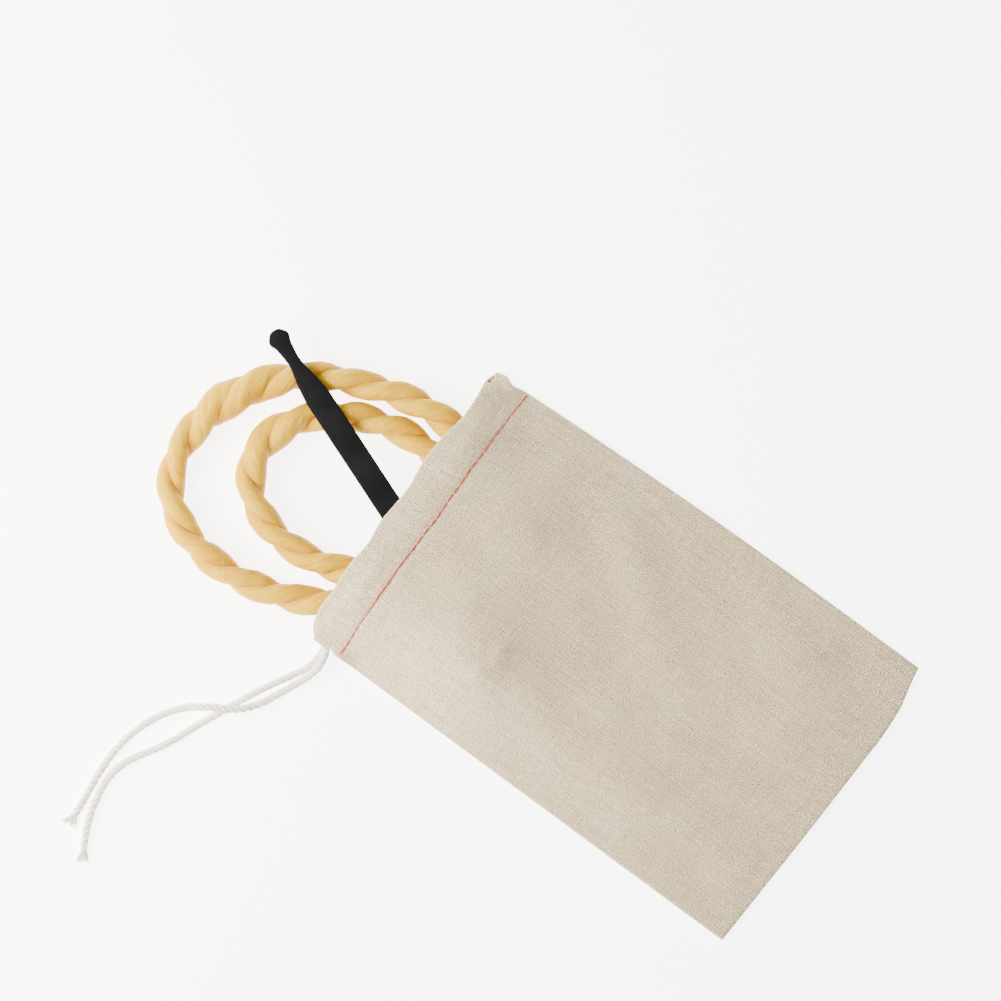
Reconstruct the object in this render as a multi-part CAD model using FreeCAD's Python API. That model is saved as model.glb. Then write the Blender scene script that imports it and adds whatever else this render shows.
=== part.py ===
"""Cotton drawstring pouch holding a two-turn coil of twisted waxed rope and a flat spatula.

The pouch lies flat on its back panel. +X runs from its closed bottom to its mouth, +Z is up, and the
origin is on the underside, at the middle of the pouch. Lengths are in millimetres.
"""
import FreeCAD
import Part
import math
import os

V = FreeCAD.Vector

# Pouch
POUCH_LENGTH = 156.0        # bottom seam to mouth
POUCH_WIDTH = 101.0         # across the bottom seam
MOUTH_NARROWING = 2.0       # how far each long edge draws in where the filled mouth arches up
FOLD_BOW = 1.3              # outward bow of the folded long edge
CORNER_BULGE = 3.2          # how far the bottom edge pushes out near the folded corner
CLOTH = 0.5                 # thickness of one ply of the cotton cloth
SLACK = 0.2                 # room between the front panel and what it covers in the channel
SEAM_ALLOWANCE = 7.0        # width of the turned-in raw edges
SEAM_PLIES = 2              # plies lying in each seam allowance
CHANNEL_DEPTH = 12.0        # width of the drawstring channel along the mouth
THREAD_SEAM = 0.4           # thread diameter inside the seams
THREAD_HEM = 0.56           # thread diameter of the red row under the channel
STITCH_LENGTH = 2.5
STITCH_PITCH = 3.1

# Room inside the pouch
INSIDE_TOP = 15.5           # height of the clear space under the front panel, over the contents
INSIDE_TOP_BOTTOM = 1.65    # the same at the bottom seam
RISE_START = -70.0          # the front panel lifts off the back panel from here ...
RISE_END = 22.0             # ... and reaches its full height here
MOUTH_HALF_ROOM = 45.4      # half the clear width at the mouth

# Drawstring
STRING_FLAT = 1.7           # diameter where it is pressed in the channel
STRING_FREE = 2.4           # diameter of the free tails
STRING_X = 71.0             # where the string runs along the channel

# Rope
ROPE = 9.2                  # diameter over both strands
ROPE_POINTS = 16            # points a turn
OUTER_TURN = {"centre": (95.0, 10.7), "long": 47.8, "short": 35.5, "tilt": 31.4, "reach": 0.022}
INNER_TURN = {"centre": (90.3, 6.2), "long": 32.2, "short": 23.2, "tilt": 17.4, "reach": -0.013}
ROPE_START = 0.06           # turns counted from the deepest point inside the pouch
ROPE_END = 1.86
SHIFT_START = 0.56          # the rope moves from the outer turn to the inner one between these
SHIFT_END = 1.295
ROPE_GAP = 0.35             # clear height over the back channel and under the spatula
RAMP_HIGH_X = 82.0          # outside the mouth the rope slopes down from here ...
RAMP_LOW_X = 136.0          # ... to the surface here

# Spatula
SPATULA_TIP = (137.4, -19.5)
SPATULA_HEADING = 159.1     # degrees, from the tip into the pouch
SPATULA_LENGTH = 118.0
SPATULA_THICKNESS = 1.6
SPATULA_HALF_WIDTHS = ((0.0, 2.0), (1.3, 3.1), (5.0, 2.5), (10.5, 1.95), (17.0, 3.1), (23.0, 3.9))
SPATULA_SLOPE = 0.0262      # it rises into the pouch by this much for each millimetre of length
SPATULA_TIP_HEIGHT = 10.4   # underside at the tip

# Routes of the free tails, on the resting surface except where they leave the channel and cross
TAIL_UNDER = (
    (70.6, 48.8, 1.35), (70.1, 52.2, 1.3), (70.9, 56.6, 1.2), (73.9, 61.9, 1.2), (77.3, 67.6, 1.2),
    (80.3, 73.4, 1.2), (83.0, 79.4, 1.2), (85.9, 85.6, 1.2), (88.7, 91.8, 1.2), (91.3, 98.4, 1.2),
    (94.9, 104.8, 1.2), (98.9, 110.9, 1.2), (100.8, 117.8, 1.2), (99.9, 125.4, 1.2),
    (98.0, 132.6, 1.2), (95.0, 138.8, 1.2), (91.9, 144.1, 1.2))
TAIL_OVER = (
    (69.6, 48.8, 4.2), (68.4, 52.4, 4.0), (68.7, 56.8, 2.6), (70.8, 62.2, 1.3), (73.4, 67.8, 1.2),
    (76.3, 74.0, 1.6), (80.8, 79.4, 4.2), (89.0, 83.7, 4.2), (95.0, 88.5, 1.6), (99.4, 95.0, 1.2),
    (102.5, 102.6, 1.2), (103.9, 110.9, 1.2), (103.7, 119.8, 1.2), (102.6, 128.8, 1.2),
    (101.9, 137.4, 1.2))

STRAIGHT_TURN = 0.003       # a corner that turns less than this many radians is passed straight through

BOTTOM_X = -POUCH_LENGTH / 2
MOUTH_X = POUCH_LENGTH / 2
HEM_X = MOUTH_X - CHANNEL_DEPTH
SEAM_HEIGHT = CLOTH * (1 + SEAM_PLIES)


def smooth(value):
    """Rise from 0 to 1 with level ends."""
    value = min(1.0, max(0.0, value))
    return value * value * (3 - 2 * value)


def along(x):
    """Share of the pouch's length from its bottom, 0 to 1."""
    return (x - BOTTOM_X) / POUCH_LENGTH


def seam_half_width(x):
    """Distance of the sewn long edge from the centre line."""
    return POUCH_WIDTH / 2 - MOUTH_NARROWING * along(x)


def fold_half_width(x):
    """Distance of the folded long edge from the centre line."""
    return POUCH_WIDTH / 2 - MOUTH_NARROWING * along(x) + FOLD_BOW * math.sin(math.pi * along(x))


def bottom_shift(x, y):
    """The bottom edge's bulge near the folded corner, fading out up the pouch."""
    bump = math.exp(-((y + 34.0) / 11.0) ** 2)
    return -CORNER_BULGE * bump * (1 - smooth(along(x) / 0.25))


def channel_lift(x):
    """How far the channel's two plies stand apart around the drawstring."""
    if x <= STRING_X:
        return STRING_FLAT * smooth((x - HEM_X) / (STRING_X - HEM_X))
    return STRING_FLAT * smooth((MOUTH_X - x) / (MOUTH_X - STRING_X))


def inside_top(x):
    """Height of the clear space under the front of the pouch."""
    rise = smooth((x - RISE_START) / (RISE_END - RISE_START))
    return INSIDE_TOP_BOTTOM + (INSIDE_TOP - INSIDE_TOP_BOTTOM) * rise


def arch(half_fold, half_seam, top, foot_fold, foot_seam, fullness, count):
    """Evenly spaced (y, z) points over an arch that stands upright at both feet."""
    dense = []
    steps = 720
    for step in range(steps + 1):
        angle = math.pi * step / steps
        side = -math.cos(angle)
        share = math.copysign(abs(side) ** (2.0 / fullness), side)
        foot = foot_fold + (foot_seam - foot_fold) * smooth((share + 1) / 2)
        y = share * (half_seam if share > 0 else half_fold)
        dense.append((y, foot + (top - foot) * math.sin(angle)))
    lengths = [0.0]
    for before, after in zip(dense, dense[1:]):
        lengths.append(lengths[-1] + math.dist(before, after))
    points = []
    place = 0
    for step in range(count):
        target = lengths[-1] * step / (count - 1)
        while place < steps - 1 and lengths[place + 1] < target:
            place += 1
        part = (target - lengths[place]) / (lengths[place + 1] - lengths[place])
        before, after = dense[place], dense[place + 1]
        points.append((before[0] + (after[0] - before[0]) * part,
                       before[1] + (after[1] - before[1]) * part))
    return points


def offset_arch(points, distance):
    """Move an arch's points outward, square to the arch."""
    moved = []
    last = len(points) - 1
    for index, (y, z) in enumerate(points):
        before = points[max(0, index - 1)]
        after = points[min(last, index + 1)]
        run = math.dist(before, after)
        normal = (-(after[1] - before[1]) / run, (after[0] - before[0]) / run)
        if index == 0:
            normal = (-1.0, 0.0)
        if index == last:
            normal = (1.0, 0.0)
        moved.append((y + normal[0] * distance, z + normal[1] * distance))
    return moved


def front_arch(x, count=41):
    """Inner face of the front panel at one place along the pouch."""
    facing = (CLOTH + SLACK) * smooth((x - (HEM_X - 8)) / 8)
    top = inside_top(x) + facing + channel_lift(x)
    foot_fold = CLOTH + (SEAM_HEIGHT - CLOTH) * (1 - smooth((x - BOTTOM_X - SEAM_ALLOWANCE) / 12))
    foot_seam = SEAM_HEIGHT + 4.1 * smooth((x - 58) / 9)
    fullness = 3 + 4 * smooth((x - RISE_START) / (RISE_END - RISE_START))
    return arch(fold_half_width(x) - CLOTH, seam_half_width(x) - CLOTH, top,
                foot_fold, foot_seam, fullness, count)


def facing_arch(x, count=41):
    """Inner face of the ply folded in at the mouth, on the front."""
    foot = CLOTH + STRING_FLAT + CLOTH + 0.3
    return arch(MOUTH_HALF_ROOM, MOUTH_HALF_ROOM, inside_top(x), foot, foot, 7, count)


def surface_through(grid):
    """A smooth surface through a grid of points."""
    surface = Part.BSplineSurface()
    surface.interpolate(grid)
    return surface.toShape()


def boundary_rulings(inner, outer):
    """The four narrow faces that close the gap between two matching surfaces."""
    rulings = []
    for edge in inner.Edges:
        partner = min(outer.Edges, key=lambda other: edge.CenterOfMass.distanceToPoint(other.CenterOfMass))
        rulings.append(Part.makeRuledSurface(edge, partner))
    return rulings


def ply(stations, arch_at, shift=None):
    """One ply of cloth that follows an arch from station to station."""
    inner_grid = []
    outer_grid = []
    for x in stations:
        inside = arch_at(x)
        outside = offset_arch(inside, CLOTH)
        inner_grid.append([V(x + (shift(x, y) if shift else 0.0), y, z) for y, z in inside])
        outer_grid.append([V(x + (shift(x, y) if shift else 0.0), y, z) for y, z in outside])
    inner = surface_through(inner_grid)
    outer = surface_through(outer_grid)
    shell = Part.Shell([inner, outer] + boundary_rulings(inner, outer))
    shell.sewShape(1e-3)
    solid = Part.Solid(shell)
    if solid.Volume < 0:
        solid.reverse()
    return solid


def front_panel():
    """The front half of the folded cloth, arched over the contents."""
    stations = [BOTTOM_X + 9 * step for step in range(15)] + [54, 58.5, 62.5]
    stations += [HEM_X, 68.5, STRING_X, 74.5, MOUTH_X]
    return ply(stations, front_arch, bottom_shift)


def front_channel_facing():
    """The ply folded in behind the front panel, which closes the drawstring channel."""
    stations = [HEM_X + CHANNEL_DEPTH * step / 4 for step in range(5)]
    return ply(stations, facing_arch)


def outline_edge(points):
    """A smooth edge through the points."""
    curve = Part.BSplineCurve()
    curve.interpolate(points)
    return curve.toShape()


def bottom_points(y_low, y_high, z):
    """Points along the bottom edge, with its bulge."""
    steps = 16
    ys = [y_low + (y_high - y_low) * step / steps for step in range(steps + 1)]
    return [V(BOTTOM_X + bottom_shift(BOTTOM_X, y), y, z) for y in ys]


def back_panel():
    """The back half of the folded cloth, flat on the surface."""
    steps = 8
    xs = [BOTTOM_X + POUCH_LENGTH * step / steps for step in range(steps + 1)]
    seam = [V(x, seam_half_width(x), 0) for x in xs]
    fold = [V(x, -fold_half_width(x), 0) for x in reversed(xs)]
    bottom = bottom_points(-fold_half_width(BOTTOM_X), seam_half_width(BOTTOM_X), 0)
    seam[0] = bottom[-1]
    fold[-1] = bottom[0]
    mouth = Part.LineSegment(seam[-1], fold[0]).toShape()
    wire = Part.Wire([outline_edge(bottom), outline_edge(seam), mouth, outline_edge(fold)])
    return Part.Face(wire).extrude(V(0, 0, CLOTH))


def back_channel_facing():
    """The ply folded in over the drawstring on the back panel."""
    steps = 12
    low = []
    high = []
    for step in range(steps + 1):
        x = HEM_X + CHANNEL_DEPTH * step / steps
        z = CLOTH + channel_lift(x)
        low.append(V(x, -(MOUTH_HALF_ROOM - 0.6), z))
        high.append(V(x, -(MOUTH_HALF_ROOM - 0.6), z + CLOTH))
    ends = [Part.LineSegment(low[0], high[0]).toShape(), Part.LineSegment(low[-1], high[-1]).toShape()]
    wire = Part.Wire(Part.__sortEdges__([outline_edge(low), outline_edge(high)] + ends))
    return Part.Face(wire).extrude(V(0, 2 * (MOUTH_HALF_ROOM - 0.6), 0))


def side_seam_allowance():
    """The two raw edges turned in along the sewn long edge."""
    low_x = BOTTOM_X + SEAM_ALLOWANCE
    outer = [V(low_x, seam_half_width(low_x), CLOTH), V(HEM_X, seam_half_width(HEM_X), CLOTH)]
    inner = [point - V(0, SEAM_ALLOWANCE, 0) for point in reversed(outer)]
    wire = Part.makePolygon(outer + inner + outer[:1])
    return Part.Face(wire).extrude(V(0, 0, CLOTH * SEAM_PLIES))


def bottom_seam_allowance():
    """The two raw edges turned in along the bottom."""
    edge = bottom_points(-fold_half_width(BOTTOM_X), seam_half_width(BOTTOM_X), CLOTH)
    inner_x = BOTTOM_X + SEAM_ALLOWANCE
    inner = [V(inner_x, seam_half_width(inner_x), CLOTH), V(inner_x, -fold_half_width(inner_x), CLOTH)]
    sides = [Part.LineSegment(edge[-1], inner[0]).toShape(), Part.LineSegment(inner[0], inner[1]).toShape(),
             Part.LineSegment(inner[1], edge[0]).toShape()]
    wire = Part.Wire([outline_edge(edge)] + sides)
    return Part.Face(wire).extrude(V(0, 0, CLOTH * SEAM_PLIES))


def stitch(start, end, diameter):
    """One straight stitch between two points."""
    return Part.makeCylinder(diameter / 2, (end - start).Length, start, end - start)


def stitch_row(start, end, diameter):
    """Stitches in a straight row."""
    count = int((end - start).Length / STITCH_PITCH)
    step = (end - start) / count
    stitches = []
    for index in range(count):
        begin = start + step * (index + 0.1)
        stitches.append(stitch(begin, begin + step * (STITCH_LENGTH / STITCH_PITCH), diameter))
    return Part.makeCompound(stitches)


def front_hem_stitches():
    """The red row that closes the channel, seen on the front."""
    count = 2 * 38 + 1
    outside = offset_arch(front_arch(HEM_X, count), CLOTH)
    stitches = []
    for index in range(2, count - 3, 2):
        y0, z0 = outside[index]
        y1, z1 = outside[index + 1]
        reach = STITCH_LENGTH / math.dist((y0, z0), (y1, z1))
        end = V(HEM_X, y0 + (y1 - y0) * reach, z0 + (z1 - z0) * reach)
        stitches.append(stitch(V(HEM_X, y0, z0), end, THREAD_HEM))
    return Part.makeCompound(stitches)


def back_hem_stitches():
    """The same red row on the back, drawn down flush with the cloth."""
    level = THREAD_HEM * 0.4
    reach = MOUTH_HALF_ROOM
    return stitch_row(V(HEM_X, -reach, level), V(HEM_X, reach, level), 2 * level)


def side_seam_stitches():
    """Thread of the side seam, between the turned-in plies."""
    level = CLOTH * 2
    start_x = BOTTOM_X + SEAM_ALLOWANCE + 1
    end_x = HEM_X - 1
    start = V(start_x, seam_half_width(start_x) - 1.0, level)
    end = V(end_x, seam_half_width(end_x) - 1.0, level)
    return stitch_row(start, end, THREAD_SEAM)


def bottom_seam_stitches():
    """Thread of the bottom seam, between the turned-in plies."""
    reach = POUCH_WIDTH / 2 - 2.0
    start = V(BOTTOM_X + 1.0, -reach, CLOTH * 2)
    end = V(BOTTOM_X + 1.0, reach, CLOTH * 2)
    return stitch_row(start, end, THREAD_SEAM)


def rounded_wire(points, name):
    """Straight runs joined by tangent arcs; prints the smallest radius."""
    points = [V(*point) for point in points]
    edges = []
    last = points[0]
    radii = []
    for before, corner, after in zip(points, points[1:], points[2:]):
        back = before - corner
        ahead = after - corner
        reach = 0.45 * min(back.Length, ahead.Length)
        turn = math.pi - back.getAngle(ahead)
        if turn < STRAIGHT_TURN:
            continue
        radius = reach / math.tan(turn / 2)
        radii.append(radius)
        enter = corner + back.normalize() * reach
        leave = corner + ahead.normalize() * reach
        inward = (back + ahead).normalize()
        middle = corner + inward * (radius / math.cos(turn / 2) - radius)
        edges.append(Part.LineSegment(last, enter).toShape())
        edges.append(Part.Arc(enter, middle, leave).toShape())
        last = leave
    edges.append(Part.LineSegment(last, points[-1]).toShape())
    print(name, "radii from", round(min(radii), 1), "mm:", [round(radius, 1) for radius in radii])
    return Part.Wire(edges)


def tube(points, diameter, name):
    """A round cord along the rounded route; compares its volume with section times length."""
    path = rounded_wire(points, name)
    start = path.Edges[0]
    direction = start.tangentAt(start.FirstParameter)
    section = Part.Wire(Part.makeCircle(diameter / 2, V(*points[0]), direction))
    solid = path.makePipeShell([section], True, True)
    expected = math.pi * (diameter / 2) ** 2 * path.Length
    print(name, "length", round(path.Length, 1), "mm, volume share", round(solid.Volume / expected, 3))
    return solid


def drawstring_channel_run():
    """The drawstring inside the channel: along the back, round the fold and over the front."""
    side = MOUTH_HALF_ROOM + CLOTH + STRING_FLAT / 2 + 0.15
    low = CLOTH + STRING_FLAT / 2
    back = [TAIL_UNDER[0], (STRING_X, 40.0, low), (STRING_X - 0.2, 14.0, low), (STRING_X + 0.1, -14.0, low),
            (STRING_X, -37.0, low), (STRING_X, -43.6, low + 0.1), (STRING_X, -46.4, low + 1.7),
            (STRING_X, -side, low + 4.4)]
    over = arch(side, side, inside_top(STRING_X) + CLOTH + STRING_FLAT / 2 + 0.15, 3.0, 3.0, 7, 25)
    front = [(STRING_X, y, z) for y, z in over[2:-2]]
    exit_bend = [(STRING_X - 0.3, side - 0.1, 6.2), (STRING_X - 0.9, side + 0.6, 4.5)]
    return tube(back + front + exit_bend + [TAIL_OVER[0]], STRING_FLAT, "drawstring_channel_run")


def turn_point(turn, count):
    """A point on one tilted oval turn; past the mouth its depth is stretched or drawn in."""
    tilt = math.radians(turn["tilt"])
    deepest = math.pi - math.atan2(turn["short"] * math.sin(tilt), turn["long"] * math.cos(tilt))
    angle = deepest + 2 * math.pi * count
    along_long = turn["long"] * math.cos(angle)
    along_short = turn["short"] * math.sin(angle)
    x = turn["centre"][0] + along_long * math.cos(tilt) - along_short * math.sin(tilt)
    y = turn["centre"][1] + along_long * math.sin(tilt) + along_short * math.cos(tilt)
    if x < MOUTH_X:
        x -= turn["reach"] * (MOUTH_X - x) ** 2
    return x, y


def rope_height(x):
    """Height of the rope's centre: over the back channel inside, on the surface outside."""
    high = CLOTH + STRING_FLAT + CLOTH + ROPE_GAP + ROPE / 2
    share = min(1.0, max(0.0, (RAMP_LOW_X - x) / (RAMP_LOW_X - RAMP_HIGH_X)))
    return ROPE / 2 + (high - ROPE / 2) * share


def rope_points():
    """The coil's centre line, from its outer end to its inner one."""
    total = round((ROPE_END - ROPE_START) * ROPE_POINTS)
    points = []
    for step in range(total + 1):
        count = ROPE_START + (ROPE_END - ROPE_START) * step / total
        shift = smooth((count - SHIFT_START) / (SHIFT_END - SHIFT_START))
        outer = turn_point(OUTER_TURN, count)
        inner = turn_point(INNER_TURN, count)
        x = outer[0] * (1 - shift) + inner[0] * shift
        y = outer[1] * (1 - shift) + inner[1] * shift
        points.append((x, y, rope_height(x)))
    return points


def spatula_outline():
    """Half of the spatula's outline as (distance from the tip, half width)."""
    full = SPATULA_HALF_WIDTHS[-1][1]
    heel = [(SPATULA_LENGTH - full, full)]
    return list(SPATULA_HALF_WIDTHS) + heel


def spatula():
    """Flat stick with a narrow paddle tip, a waist and a round heel."""
    half = spatula_outline()
    upper = outline_edge([V(along_, across, 0) for along_, across in half[:-1]])
    lower = outline_edge([V(along_, -across, 0) for along_, across in half[:-1]])
    full = half[-1][1]
    heel_x = half[-1][0]
    shoulder_x = half[-2][0]
    heel = Part.Arc(V(heel_x, full, 0), V(heel_x + full, 0, 0), V(heel_x, -full, 0)).toShape()
    tip_half = half[0][1]
    tip = Part.Arc(V(0, -tip_half, 0), V(-0.7, 0, 0), V(0, tip_half, 0)).toShape()
    top_line = Part.LineSegment(V(shoulder_x, full, 0), V(heel_x, full, 0)).toShape()
    low_line = Part.LineSegment(V(heel_x, -full, 0), V(shoulder_x, -full, 0)).toShape()
    wire = Part.Wire(Part.__sortEdges__([upper, top_line, heel, low_line, lower, tip]))
    blade = Part.Face(wire).extrude(V(0, 0, SPATULA_THICKNESS))
    blade.rotate(V(0, 0, 0), V(0, 1, 0), -math.degrees(math.atan(SPATULA_SLOPE)))
    blade.rotate(V(0, 0, 0), V(0, 0, 1), SPATULA_HEADING)
    blade.translate(V(SPATULA_TIP[0], SPATULA_TIP[1], SPATULA_TIP_HEIGHT))
    return blade


def main():
    """Write one file for each piece."""
    os.makedirs("parts", exist_ok=True)
    pieces = {
        "back_panel": back_panel(),
        "front_panel": front_panel(),
        "front_channel_facing": front_channel_facing(),
        "back_channel_facing": back_channel_facing(),
        "side_seam_allowance": side_seam_allowance(),
        "bottom_seam_allowance": bottom_seam_allowance(),
        "front_hem_stitches": front_hem_stitches(),
        "back_hem_stitches": back_hem_stitches(),
        "side_seam_stitches": side_seam_stitches(),
        "bottom_seam_stitches": bottom_seam_stitches(),
        "drawstring_channel_run": drawstring_channel_run(),
        "drawstring_tail_under": tube(TAIL_UNDER, STRING_FREE, "drawstring_tail_under"),
        "drawstring_tail_over": tube(TAIL_OVER, STRING_FREE, "drawstring_tail_over"),
        "rope_coil": tube(rope_points(), ROPE, "rope_coil"),
        "spatula": spatula(),
    }
    for name, shape in pieces.items():
        box = shape.BoundBox
        print(name, "valid" if shape.isValid() else "NOT VALID", round(shape.Volume, 1),
              [round(value, 2) for value in (box.XMin, box.XMax, box.YMin, box.YMax, box.ZMin, box.ZMax)])
        shape.exportStep("parts/" + name + ".step")


main()
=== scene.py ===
"""Looks of the cotton drawstring pouch, its twisted waxed rope and its spatula.

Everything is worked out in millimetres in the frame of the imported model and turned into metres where
a mesh is made: +X runs from the pouch's closed bottom to its mouth, +Z is up.
"""
import math

import bpy
import numpy as np
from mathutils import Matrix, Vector, noise


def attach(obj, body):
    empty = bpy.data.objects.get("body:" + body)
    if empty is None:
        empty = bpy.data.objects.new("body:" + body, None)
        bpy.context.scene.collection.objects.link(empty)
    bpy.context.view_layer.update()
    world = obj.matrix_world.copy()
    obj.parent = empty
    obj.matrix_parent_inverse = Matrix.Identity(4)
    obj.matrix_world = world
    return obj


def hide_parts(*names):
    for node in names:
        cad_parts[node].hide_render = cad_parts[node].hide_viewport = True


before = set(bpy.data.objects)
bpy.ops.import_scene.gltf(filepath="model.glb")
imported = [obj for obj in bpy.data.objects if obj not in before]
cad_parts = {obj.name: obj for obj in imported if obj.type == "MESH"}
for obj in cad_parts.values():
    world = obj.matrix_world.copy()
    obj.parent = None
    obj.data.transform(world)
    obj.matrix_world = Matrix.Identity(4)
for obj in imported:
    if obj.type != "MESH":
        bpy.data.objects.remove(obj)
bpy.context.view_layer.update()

MM = 0.001

# Camera and stage
CAMERA_DISTANCE = 1.6           # metres above the middle height of the object
CAMERA_SPOT = (53.3, -18.1, 8.0)
CAMERA_TURN = 215.7             # degrees
VIEW_WIDTH = 300.3              # width of the view at the object
SENSOR = 36.0
FLOOR_HALF = 4000.0
LIGHT_AIM = (0.03, 0.0, 0.0)
LIGHTS = (                      # place and size in metres, power and colour of each
    ("key", (0.345, 0.20, 0.29), 0.33, 9.6, (1.0, 0.985, 0.96)),
    ("overhead", (-0.1, -0.1, 1.9), 1.6, 11.5, (1.0, 1.0, 1.0)))
SURROUNDINGS = 0.5
FLOOR_GLOW = 5.0

# Pouch, as in the CAD model
POUCH_LENGTH = 156.0
POUCH_WIDTH = 101.0
MOUTH_NARROWING = 2.0
FOLD_BOW = 1.3
CLOTH = 0.5
CHANNEL_DEPTH = 12.0
STRING_FLAT = 1.7
STRING_X = 71.0
FACING_HALF = 45.0              # half the width of the ply folded in at the mouth
UNDER_EXIT = (70.6, 48.8, 1.35)  # where the drawstring's two tails leave the channel
OVER_EXIT = (69.6, 48.8, 4.2)
BOTTOM_X = -POUCH_LENGTH / 2
MOUTH_X = POUCH_LENGTH / 2
HEM_X = MOUTH_X - CHANNEL_DEPTH

# Cloth as it drapes
CLOTH_SHOWN = 0.46              # thickness of one ply
BACK_HEIGHT = CLOTH_SHOWN / 2 + 0.01
CUT_WIDTH = 103.4               # width of one half of the flat cloth
RIM = 0.75                      # radius of the pouch's rolled long edges
RIM_AT_STRING = 0.85            # how much the folded edge's radius grows round the drawstring
# The rolled edges, from the flat onwards: how far each step stands out, and how far it has turned in
FRONT_SEAM_RIM = ((0.42, 0.12), (0.75, 0.42), (0.62, 0.66), (0.1, 0.78))
BACK_SEAM_RIM = ((0.42, 0.12), (0.75, 0.4), (0.62, 0.6), (0.1, 0.68))
BOTTOM_RIM = ((0.42, 0.12), (0.72, 0.4), (0.6, 0.62), (0.1, 0.74))
RIM_FLAT = 1.3                  # flat width of a rolled edge, and of one step of it
RIM_STEP = 0.32
MOUTH_FOLD = 0.36               # radius of the fold at the mouth
FLAT_LENGTH = POUCH_LENGTH - 2 * RIM
FLAT_WIDTH = CUT_WIDTH - 2 * RIM
SEAM_NOTCH = 0.7                # how far the drawstring draws the two long edges in
FOLD_NOTCH = 0.6
FOLD_FLARE = 0.8
SLIT_LIFT = 4.1                 # how far the front stands up where the drawstring comes out
SIM_STEP = 1.5                  # spacing of the simulated cloth's grid
SIM_SCALE = 10.0                # the cloth is simulated this many times larger
SIM_FRAMES = 34
SIM_LIMIT = 6.0                 # how far the simulation may move a point
CONTENT_GAP = 0.4               # clear height over the rope and the spatula
SHOULDER_CELLS = 7              # how many grid cells the cloth bridges round its contents
SHOULDER_ROUNDS = 100
SHOULDER_INLAND = 14.0          # how far from the long edges it does so fully
RELAX_ROUNDS = 5000
TAUT = 0.92                     # how little the cloth sinks between what holds it up, 0 to 1
BROAD_FOLDS = (                 # middle x and y, direction, length, width and height of each
    (-28.0, 30.0, 4.0, 40.0, 9.0, 2.0), (-34.0, 3.0, 7.0, 42.0, 8.0, -1.4),
    (-50.0, -30.0, -12.0, 24.0, 8.0, 1.5), (8.0, -26.0, -28.0, 26.0, 7.0, 1.6))
MOUTH_WAVES = (                 # y, and how far the mouth's edge stands out there
    (-49.4, -1.9), (-48.0, -0.9), (-46.0, 0.1), (-41.0, -0.2), (-34.1, -0.9), (-23.3, 0.4),
    (-13.3, 0.7), (-5.7, -0.2), (0.2, 0.0), (7.8, 0.6), (16.2, -0.2), (23.6, 0.6), (34.6, 0.2),
    (43.5, 0.1), (46.5, -1.4), (49.0, -4.6))
BOTTOM_BULGE = (                # y, and how far the bottom edge stands out there
    (-50.4, 0.35), (-44.0, 1.6), (-38.0, 3.0), (-33.0, 3.4), (-27.0, 3.6), (-18.0, 3.25),
    (-4.0, 2.75), (15.0, 1.95), (33.0, 1.05), (50.5, 0.15))
BACK_STRIPS = 64

# Stitches
THREAD_HEM = 0.46
STITCH_LENGTH = 3.13
STITCH_PITCH = 3.1
BACK_ROW_HEIGHT = 0.26
STITCH_SIDES = 10
STITCH_STEPS = 9

# Rope, as in the CAD model
ROPE = 9.2
ROPE_POINTS = 16
OUTER_TURN = {"centre": (95.0, 10.7), "long": 47.8, "short": 35.5, "tilt": 31.4, "reach": 0.022}
INNER_TURN = {"centre": (90.3, 6.2), "long": 32.2, "short": 23.2, "tilt": 17.4, "reach": -0.013}
ROPE_START = 0.06
ROPE_END = 1.86
SHIFT_START = 0.56
SHIFT_END = 1.295
ROPE_GAP = 0.35
RAMP_HIGH_X = 82.0
RAMP_LOW_X = 136.0
ROPE_LAY = 28.0                 # length of one whole turn of a strand
ROPE_STRAND = 3.0
ROPE_STRAND_OFFSET = 1.6
FAT_PLACE = (131.0, 5.0)        # the rope is thicker and smoother around here
FAT_REACH = 22.0
FAT_SHARE = 0.32                # how much thicker, as a share of the rope
FAT_STRAND = 0.45               # how much more its strands swell there
ROPE_PUSH = 1.9                 # how far the outer turn is bowed out, and where that begins and ends
PUSH_FROM_X = 104.0
PUSH_TO_Y = 52.0
PUSH_TO_PLACE = 215.0           # measured along the rope
WRINKLE_GIRTH = 2.6             # radius at which a strand's wrinkles are worked out
ROPE_SIDES = 30

# Spatula, as in the CAD model
SPATULA_TIP = (137.4, -19.5)
SPATULA_HEADING = 159.1
SPATULA_LENGTH = 118.0
SPATULA_THICKNESS = 1.6
SPATULA_HALF_WIDTHS = ((0.0, 2.0), (1.3, 3.1), (5.0, 2.5), (10.5, 1.95), (17.0, 3.1), (23.0, 3.9))
SPATULA_SLOPE = 0.0262
SPATULA_TIP_HEIGHT = 10.4
SPATULA_EDGE = 0.42             # radius of its long edges
SPATULA_WAIST = (10.5, 5.5, 0.12)  # place, reach and share by which it is thinner there
COIL_TRAVEL = 50.0
SPATULA_TRAVEL = 62.0

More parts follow.
